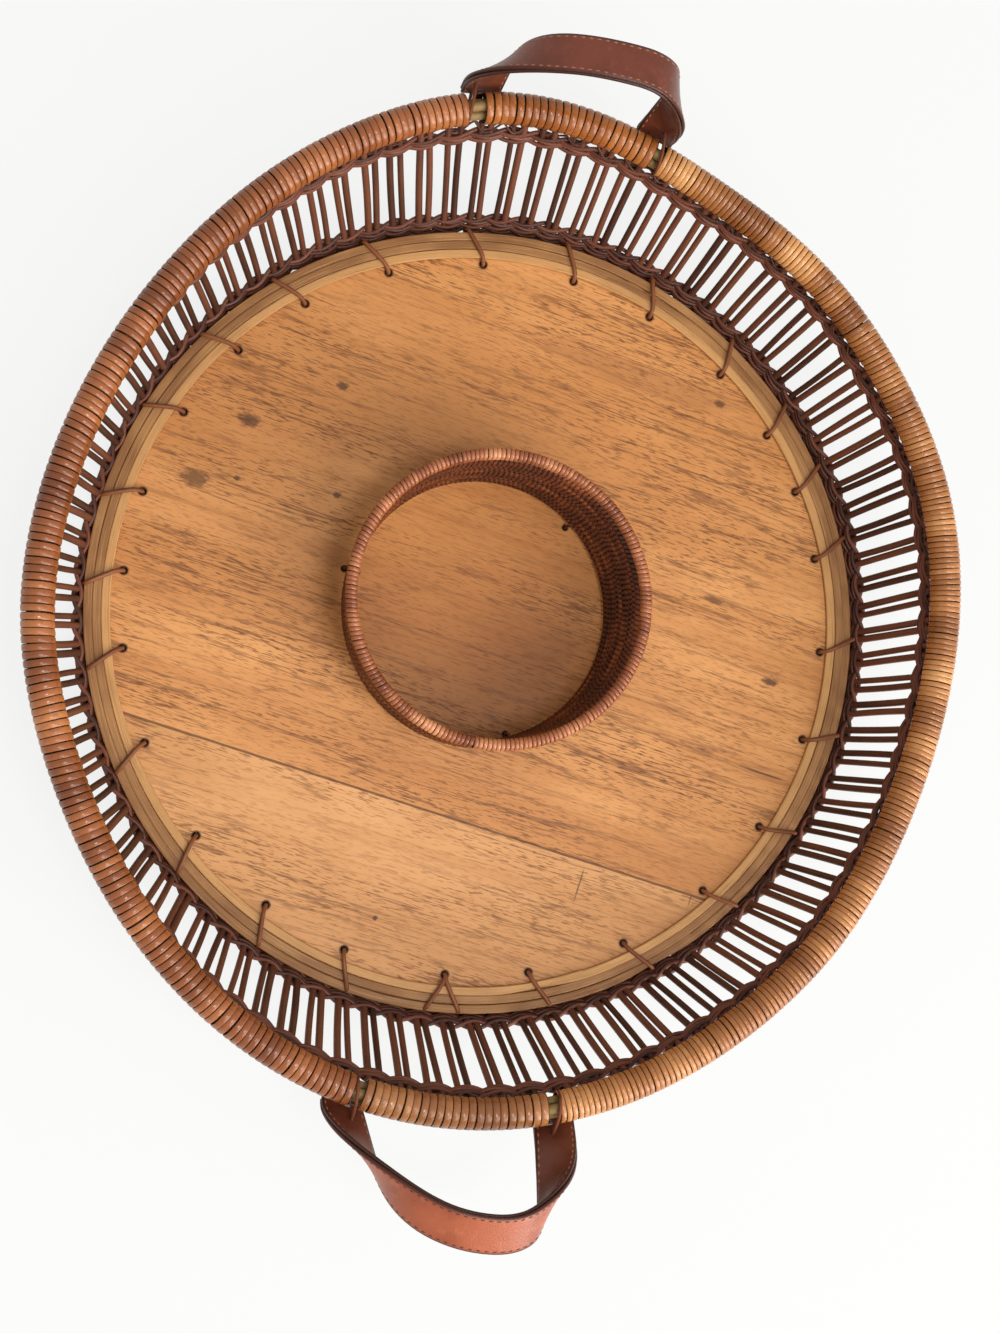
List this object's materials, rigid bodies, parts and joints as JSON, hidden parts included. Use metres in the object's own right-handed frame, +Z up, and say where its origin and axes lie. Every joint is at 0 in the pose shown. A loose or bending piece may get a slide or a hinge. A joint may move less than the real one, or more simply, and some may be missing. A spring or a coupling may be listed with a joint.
{
  "type": "rattan serving tray",
  "caption": "Oval rattan serving tray with a round wooden board, openwork stake gallery, cane-wrapped rim, two swinging leather strap handles and a fixed coiled cup in the middle.",
  "frame": {"origin": "centre of the ring that the tray stands on, at table level, below the middle of the cup", "axes": "+Z up out of the tray, +Y towards the back handle along the longer side of the oval, +X to the right"},
  "size_m": [0.4152, 0.5039, 0.1218],
  "materials": {
    "plywood": "bare plywood core, edge and underside",
    "veneer": "honey-tan wood veneer, satin, fine dark grain",
    "hoop_cane": "split cane strips, yellow-tan, satin",
    "lacing_cane": "flat lacing cane, mid brown",
    "stake_rattan": "dark red-brown stained rattan rods",
    "weaver_rattan": "dark red-brown stained rattan weavers",
    "rim_rod": "dull green-brown cane rods",
    "wrap_cane": "glossy amber wrapping cane",
    "strap_leather": "red-brown strap leather, soft sheen, stitched edges",
    "lining_leather": "dark red-brown lining leather",
    "thong_leather": "dark brown thong",
    "cup_cane": "dark red-brown wound cane coil",
    "cup_wrap_cane": "coppery fine cane binding, satin"
  },
  "bodies": {
    "tray": {"base_core": "plywood", "face_veneer_main": "veneer", "face_veneer_side": "veneer", "hoop_strip_inner": "hoop_cane", "hoop_strip_middle": "hoop_cane", "hoop_strip_outer": "hoop_cane", "edge_lacing": "lacing_cane", "stake_panel_01": "stake_rattan", "stake_panel_02": "stake_rattan", "stake_panel_03": "stake_rattan", "stake_panel_04": "stake_rattan", "stake_panel_05": "stake_rattan", "stake_panel_06": "stake_rattan", "stake_panel_07": "stake_rattan", "stake_panel_08": "stake_rattan", "stake_panel_09": "stake_rattan", "stake_panel_10": "stake_rattan", "stake_panel_11": "stake_rattan", "stake_panel_12": "stake_rattan", "stake_panel_13": "stake_rattan", "stake_panel_14": "stake_rattan", "stake_panel_15": "stake_rattan", "stake_panel_16": "stake_rattan", "weaver_low_inner": "weaver_rattan", "weaver_low_outer": "weaver_rattan", "weaver_high_inner": "weaver_rattan", "weaver_high_outer": "weaver_rattan", "weaver_top_inner": "weaver_rattan", "weaver_top_outer": "weaver_rattan", "rim_rod_top": "rim_rod", "rim_rod_inner": "rim_rod", "rim_rod_outer": "rim_rod", "rim_wrap_right": "wrap_cane", "rim_wrap_back": "wrap_cane", "rim_wrap_left": "wrap_cane", "rim_wrap_front": "wrap_cane", "cup_coil": "cup_cane", "cup_rim_rod": "rim_rod", "cup_rim_wrap": "cup_wrap_cane", "cup_tie_1": "thong_leather", "cup_tie_2": "thong_leather", "cup_tie_3": "thong_leather"},
    "back_handle": {"back_strap": "strap_leather", "back_lining": "lining_leather", "back_lashing_left": "thong_leather", "back_lashing_right": "thong_leather"},
    "front_handle": {"front_strap": "strap_leather", "front_lining": "lining_leather", "front_lashing_left": "thong_leather", "front_lashing_right": "thong_leather"}
  },
  "joints": [
    {"name": "back_handle_swing", "type": "hinge", "parent": "tray", "child": "back_handle", "pos_m": [-0.00034, 0.21063, 0.066], "axis": [0.9992, -0.0411, 0], "range_deg": [-67, 94]},
    {"name": "front_handle_swing", "type": "hinge", "parent": "tray", "child": "front_handle", "pos_m": [0, -0.21273, 0.066], "axis": [-1, 0, 0], "range_deg": [-33, 129]}
  ]
}
